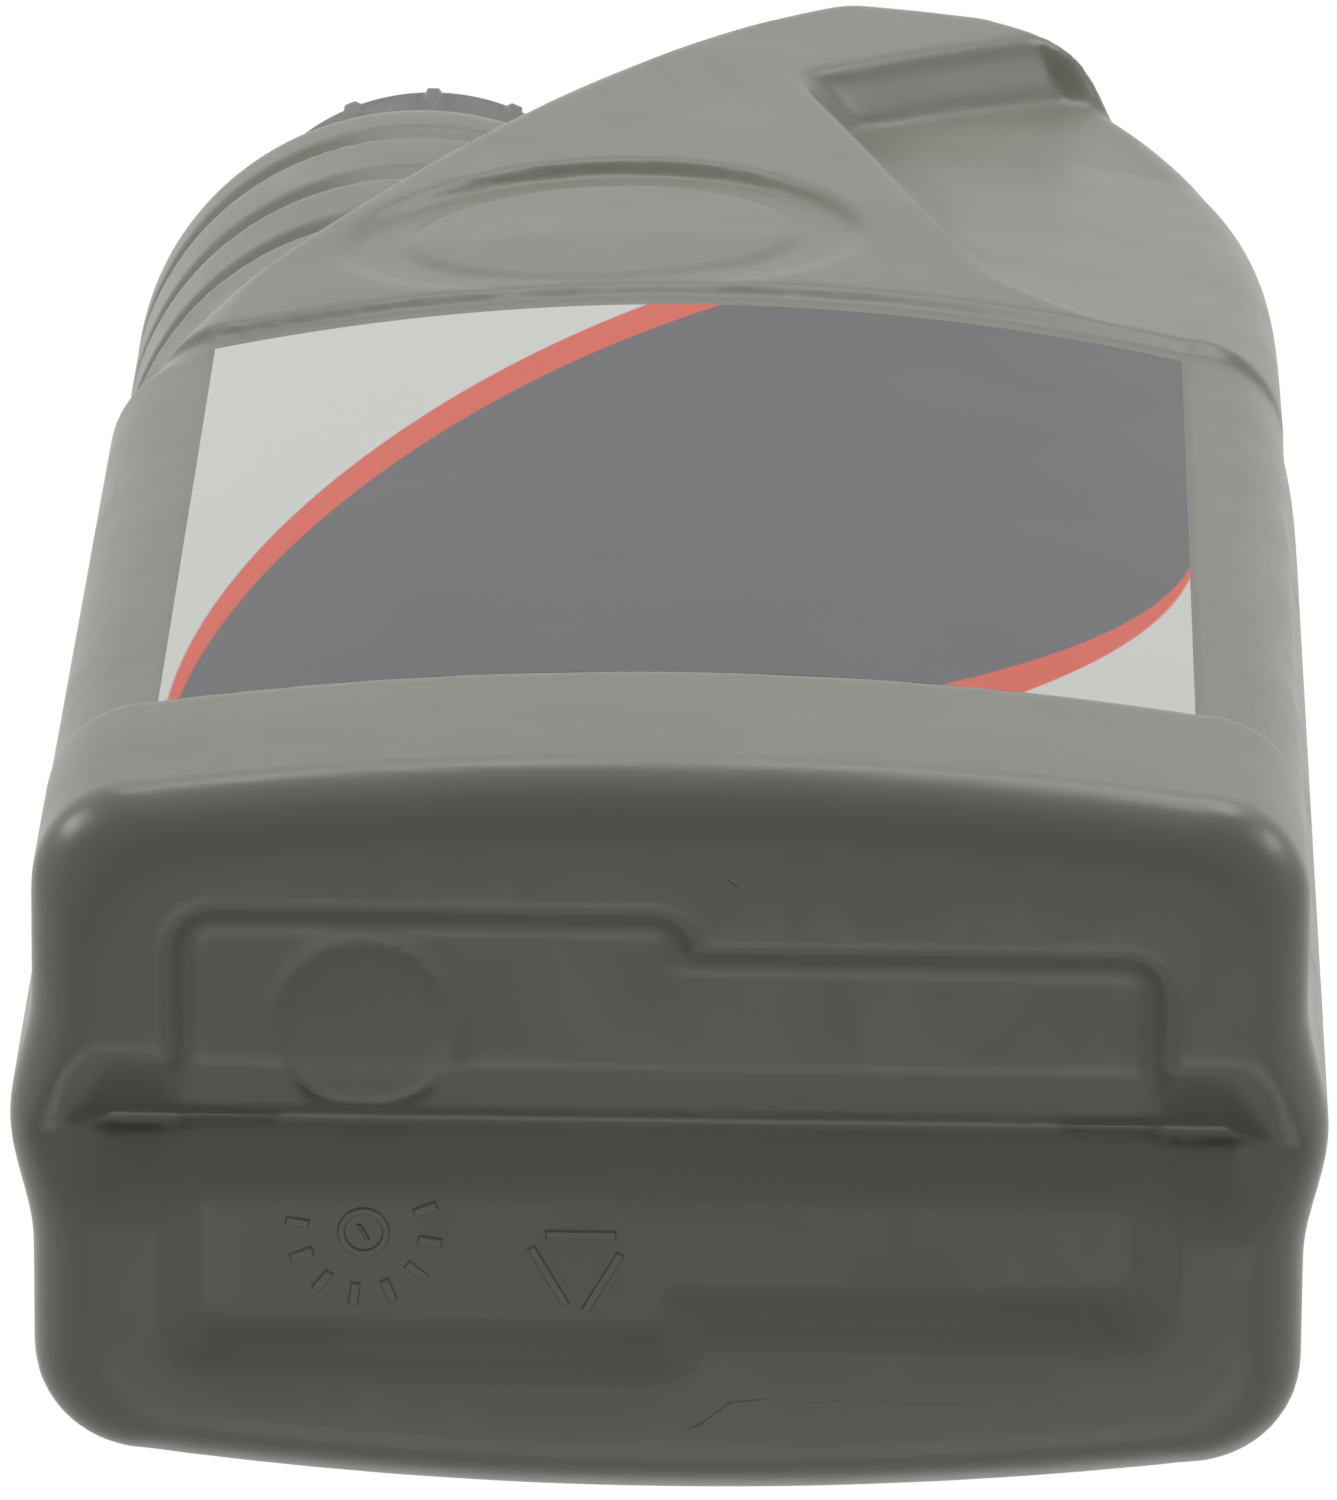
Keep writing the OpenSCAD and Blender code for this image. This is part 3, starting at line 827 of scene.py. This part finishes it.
def raised_bar(start, end, width):
    """A low bar with sloping sides that stands out of the recessed floor between two points."""
    start, end = np.array(start, float), np.array(end, float)
    middle, reach = (start + end) / 2, np.linalg.norm(end - start) / 2
    along = (end - start) / (2 * reach)
    across = np.array([-along[1], along[0]])
    corners = ((-1, -1), (1, -1), (1, 1), (-1, 1), (-1, -1))
    rows = []
    for lift, a, b in (
        (-MARK_SINK, 0, 0),
        (-MARK_SINK, reach, width / 2),
        (MARK_OUT, reach - MARK_SLOPE, width / 2 - MARK_SLOPE),
        (MARK_OUT, 0, 0),
    ):
        ring = [middle + along * a * u + across * b * v for u, v in corners]
        rows.append([(*point, FLOOR_Z - lift) for point in ring])
    return wrap("mark", rows)


def base_marks():
    """Marks of the mould on the underside: a date wheel with its pointer, and a triangle of bars."""
    wheel = (INSERT_X, DATE_Y)
    low, outer = HUB_RING
    root, tip = FLOOR_Z + MARK_SINK, FLOOR_Z - MARK_OUT
    profile = [(low, root), (outer, root), (outer - MARK_SLOPE, tip)]
    profile += [(low + MARK_SLOPE, tip), (low, root)]
    parts = [lathe("mark_ring", profile, wheel, 72)]
    for k in range(12):
        a = math.radians(30 * k + 8)
        turn = np.array([math.cos(a), math.sin(a)])
        if wheel[1] + turn[1] * DATE_R > VEE_HALF:  # the others would hang over the channel
            parts.append(raised_bar(wheel + turn * DATE_R * 0.6, wheel + turn * DATE_R * 0.95, 1.3))
    parts.append(raised_bar((wheel[0] - 0.5, wheel[1] - 0.9), (wheel[0] + 0.5, wheel[1] + 0.9), 0.8))
    turns = np.radians((0, 120, 240))
    corners = TRIANGLE + TRIANGLE_R * np.stack([np.sin(turns), np.cos(turns)], 1)
    for k in range(3):
        a, b = corners[k], corners[(k + 1) % 3]
        parts.append(raised_bar(mix(a, b, 0.12), mix(a, b, 0.82), 1.2))
    marks = join(*parts)
    marks.name = marks.data.name = "base_marks"
    smooth(marks, 30)
    return marks


class BOTTLE_OT_body(bpy.types.Operator):
    """Mould the body: join its forms, melt them into one skin, and hollow it out"""

    bl_idname = "bottle.body"
    bl_label = "Blown body"

    def execute(self, context):
        settings = context.scene.bottle_body
        skin = body_shell()
        thread = helix("thread", NECK_R, NECK_R + THREAD_DEPTH, THREAD_ROOT, THREAD_LOW, THREAD_TURNS)
        join(skin, tower_form(), neck_form(), thread)
        apply_modifier(skin, "REMESH", mode="VOXEL", voxel_size=settings.voxel * MM, adaptivity=0.0)
        apply_modifier(skin, "SMOOTH", factor=0.5, iterations=settings.smoothing)
        count = 2 * len(skin.data.polygons)
        apply_modifier(skin, "DECIMATE", ratio=min(1.0, settings.triangles / count))
        drop_slivers(skin)
        cavity = cavity_form()
        apply_modifier(skin, "BOOLEAN", operation="DIFFERENCE", object=cavity, solver="EXACT")
        discard(cavity)
        drop_slivers(skin)
        smooth(skin, 50)
        material = blown_polyethylene(settings.colour)
        dress(skin, "bottle", "blown_hdpe", material, "bottle")
        dress(base_marks(), "bottle", "blown_hdpe", material)
        return {"FINISHED"}


class BOTTLE_OT_cap(bpy.types.Operator):
    """Mould the screw cap with its grip ribs, and the torn tamper band below it"""

    bl_idname = "bottle.cap"
    bl_label = "Screw cap and band"

    def execute(self, context):
        settings = context.scene.bottle_cap
        material = moulded_polypropylene(settings.colour)
        edge = 1.2
        roof = CAP_TOP - CAP_ROOF
        profile = [(0, roof), (CAP_BORE - 0.5, roof), (CAP_BORE, roof - 0.5)]
        profile += [(CAP_BORE, CAP_LOW + 0.4), (CAP_BORE + 0.25, CAP_LOW), (CAP_R - 0.3, CAP_LOW)]
        profile += [(CAP_R, CAP_LOW + 0.3)]
        profile += [(CAP_R, z) for z in np.linspace(CAP_LOW + 0.5, CAP_TOP - edge - 0.2, 22)]
        profile += arc(CAP_R - edge, CAP_TOP - edge, edge, 0, 90, 7)
        profile += [(CAP_R - edge - 1.4, CAP_TOP), (CAP_R - edge - 1.8, CAP_TOP - 0.25)]
        profile += [(0, CAP_TOP - 0.25)]
        steps = settings.ribs * 30
        a = np.linspace(0, 2 * math.pi, steps + 1)
        a[-1] = 0.0
        turn = (a * settings.ribs / (2 * math.pi) + 0.5) % 1 - 0.5
        across = np.abs(turn) * 2 * math.pi * CAP_R / settings.ribs
        bump = ease((settings.rib_width / 2 + 0.2 - across) / 0.45)
        rows = []
        for r, z in profile:
            tall = float(ease((z - CAP_LOW - 0.8) / 0.5) * ease((CAP_TOP - 0.9 - z) / 1.0))
            reach = r + (settings.rib_height * bump * tall if r > CAP_R - edge else 0 * bump)
            rows.append(np.stack([NECK_X + reach * np.cos(a), reach * np.sin(a), np.full_like(a, z)], 1))
        cap = wrap("screw_cap", rows)
        low = THREAD_LOW + PITCH / 2
        join(cap, helix("cap_thread", CAP_BORE, CAP_BORE - 1.2, THREAD_ROOT - 0.3, low, 1.25))
        smooth(cap, 40)
        dress(cap, "cap", "cap_plastic", material, "cap")

        inside = NECK_R + 1.2
        profile = [(inside, BAND_LOW + 0.2), (inside + 0.2, BAND_LOW), (CAP_R - 0.4, BAND_LOW)]
        profile += [(CAP_R, BAND_LOW + 0.4), (CAP_R, BAND_TOP - 0.3), (CAP_R - 0.3, BAND_TOP)]
        profile += [(inside + 0.2, BAND_TOP), (inside, BAND_TOP - 0.2), (inside, BAND_LOW + 0.2)]
        band = lathe("tamper_ring", profile)
        smooth(band, 40)
        dress(band, "bottle", "cap_plastic", material, "tamper_band")
        return {"FINISHED"}


class BOTTLE_OT_label(bpy.types.Operator):
    """Lay the printed film on the front face, in its recess"""

    bl_idname = "bottle.label"
    bl_label = "Label"

    def execute(self, context):
        settings = context.scene.bottle_label
        low, high = (corner.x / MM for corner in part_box("label_front"))
        xs = np.linspace(low, high, 87)
        rows = [
            np.stack([xs, -face_y(xs, z, 0.0, False) - 0.1, np.full_like(xs, z)], 1)
            for z in np.linspace(LABEL_LOW, LABEL_TOP, 101)
        ]
        film = wrap("label", rows, close=False)
        apply_modifier(film, "SOLIDIFY", thickness=0.22 * MM, offset=1.0)
        smooth(film, 40)
        material = printed_film(settings.paper, settings.field, settings.accent)
        dress(film, "bottle", "label_film", material, "label_front")
        return {"FINISHED"}


class BOTTLE_OT_inner(bpy.types.Operator):
    """Give the sealing disc and the oil inside the bottle their own materials"""

    bl_idname = "bottle.inner"
    bl_label = "Sealing disc and oil"

    def execute(self, context):
        for name, material in (("cap_liner", foamed_liner()), ("fluid", gear_oil())):
            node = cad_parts[name]
            node.data.materials.clear()
            node.data.materials.append(material)
        return {"FINISHED"}


FOCAL_PX = 15430.0  # focal length in pixels of the photograph
PHOTO_SIZE = (1337, 1500)
SENSOR = 36.0
AIM = (0.6, -1.5, 0.0)  # point of the base that the photograph shows at AIM_PX
AIM_PX = (675.0, 1127.5)
LAMPS = {  # place, size and watts
    "key": ((100, -900, 760), (1000, 300), 2.7),
    "strip": ((480, -1260, 560), (460, 130), 2.6),
    "left": ((-1050, -660, 140), (240, 620), 5.0),
    "right": ((1120, -660, 160), (240, 620), 3.8),
    "back": ((300, 1500, 500), (1200, 900), 2.0),
    "table": ((100, 620, -800), (700, 500), 1.3),
}


def photo_camera(settings):
    """The photograph's view: from under the base, slightly in front."""
    e, a, r = (math.radians(v) for v in (settings.elevation, settings.azimuth, settings.roll))
    view = -Vector((math.sin(a) * math.cos(e), -math.cos(a) * math.cos(e), math.sin(e)))
    up = (Vector((0, 0, 1)) - view * view.z).normalized()
    right = view.cross(up)
    right, up = right * math.cos(r) + up * math.sin(r), up * math.cos(r) - right * math.sin(r)
    across = (AIM_PX[0] - PHOTO_SIZE[0] / 2) / FOCAL_PX * settings.distance
    above = (PHOTO_SIZE[1] / 2 - AIM_PX[1]) / FOCAL_PX * settings.distance
    place = Vector(AIM) - right * across - up * above - view * settings.distance
    camera = bpy.data.objects.new("camera", bpy.data.cameras.new("camera"))
    camera.data.sensor_width = SENSOR
    camera.data.lens = FOCAL_PX * SENSOR / max(PHOTO_SIZE)
    camera.data.clip_start, camera.data.clip_end = 0.05, 20
    turn = Matrix((right, up, -view)).transposed().to_4x4()
    camera.matrix_world = Matrix.Translation(place * MM) @ turn
    bpy.context.scene.collection.objects.link(camera)
    bpy.context.scene.camera = camera


def lamp(name, place, size, watts):
    """A soft area lamp that looks at the bottle's lower half, place and size in millimetres."""
    light = bpy.data.lights.new(name, "AREA")
    light.shape = "RECTANGLE"
    light.size, light.size_y = size[0] * MM, size[1] * MM
    light.energy = watts
    obj = bpy.data.objects.new(name, light)
    obj.location = Vector(place) * MM
    aim = Vector((0, 0, 100 * MM)) - obj.location
    obj.rotation_euler = aim.to_track_quat("-Z", "Y").to_euler()
    bpy.context.scene.collection.objects.link(obj)


def studio_world(strength):
    """Even light, with plain white behind the object for the camera and in its reflections."""
    world = bpy.data.worlds.new("studio")
    world.use_nodes = True
    world.node_tree.nodes.clear()
    path = add_node(world, "ShaderNodeLightPath")
    even = add_node(world, "ShaderNodeBackground", values={"Color": (1, 1, 1, 1), "Strength": strength})
    white = add_node(world, "ShaderNodeBackground", values={"Color": (1, 1, 1, 1), "Strength": 1.0})
    seen = path.outputs["Is Camera Ray"]
    for ray in ("Is Glossy Ray", "Is Transmission Ray"):
        links = {0: seen, 1: path.outputs[ray]}
        seen = add_node(world, "ShaderNodeMath", operation="MAXIMUM", links=links).outputs[0]
    sides = {0: seen, 1: even.outputs[0], 2: white.outputs[0]}
    chosen = add_node(world, "ShaderNodeMixShader", links=sides)
    add_node(world, "ShaderNodeOutputWorld", links={0: chosen.outputs[0]})
    bpy.context.scene.world = world


def floor_material():
    """Pale floor, clear from below so that the view from under the base sees past it."""
    material = bpy.data.materials.new("pale_floor")
    material.use_nodes = True
    material.node_tree.nodes.clear()
    pale = add_node(material, "ShaderNodeBsdfDiffuse", values={"Color": linear("F4F4F2")})
    clear = add_node(material, "ShaderNodeBsdfTransparent")
    side = add_node(material, "ShaderNodeNewGeometry")
    mixed = add_node(
        material,
        "ShaderNodeMixShader",
        links={0: side.outputs["Backfacing"], 1: pale.outputs[0], 2: clear.outputs[0]},
    )
    add_node(material, "ShaderNodeOutputMaterial", links={0: mixed.outputs[0]})
    return material


class BOTTLE_OT_stage(bpy.types.Operator):
    """Set the floor, the lamps and the camera"""

    bl_idname = "bottle.stage"
    bl_label = "Studio"

    def execute(self, context):
        settings = context.scene.bottle_studio
        deselect()
        bpy.ops.mesh.primitive_plane_add(size=12.0)
        floor = context.active_object
        floor.name = "floor"
        floor.data.materials.append(floor_material())
        floor.visible_diffuse = False
        floor.visible_glossy = False
        floor.visible_transmission = False
        floor.visible_shadow = False
        studio_world(settings.surround)
        for name, (place, size, watts) in LAMPS.items():
            lamp(name, place, size, watts)
        photo_camera(settings)
        context.scene.view_settings.view_transform = "Standard"
        return {"FINISHED"}


class BOTTLE_PT_panel(bpy.types.Panel):
    """Sidebar list of the bottle's pieces"""

    bl_label = "Bottle"
    bl_idname = "BOTTLE_PT_panel"
    bl_space_type = "VIEW_3D"
    bl_region_type = "UI"
    bl_category = "Bottle"

    def draw(self, context):
        for operator in OPERATORS:
            self.layout.operator(operator.bl_idname)


SETTINGS = {
    "bottle_body": BodySettings,
    "bottle_cap": CapSettings,
    "bottle_label": LabelSettings,
    "bottle_studio": StudioSettings,
}
OPERATORS = (BOTTLE_OT_body, BOTTLE_OT_cap, BOTTLE_OT_label, BOTTLE_OT_inner, BOTTLE_OT_stage)


def register():
    """Registers the settings, the operators and the panel."""
    for name, group in SETTINGS.items():
        bpy.utils.register_class(group)
        setattr(bpy.types.Scene, name, bpy.props.PointerProperty(type=group))
    for cls in (*OPERATORS, BOTTLE_PT_panel):
        bpy.utils.register_class(cls)


def unregister():
    """Takes back what register added."""
    for cls in (BOTTLE_PT_panel, *reversed(OPERATORS)):
        bpy.utils.unregister_class(cls)
    for name, group in SETTINGS.items():
        delattr(bpy.types.Scene, name)
        bpy.utils.unregister_class(group)


def main():
    """Makes every piece in order."""
    register()
    bpy.ops.bottle.body()
    bpy.ops.bottle.cap()
    bpy.ops.bottle.label()
    bpy.ops.bottle.inner()
    bpy.ops.bottle.stage()


if __name__ == "__main__":
    main()
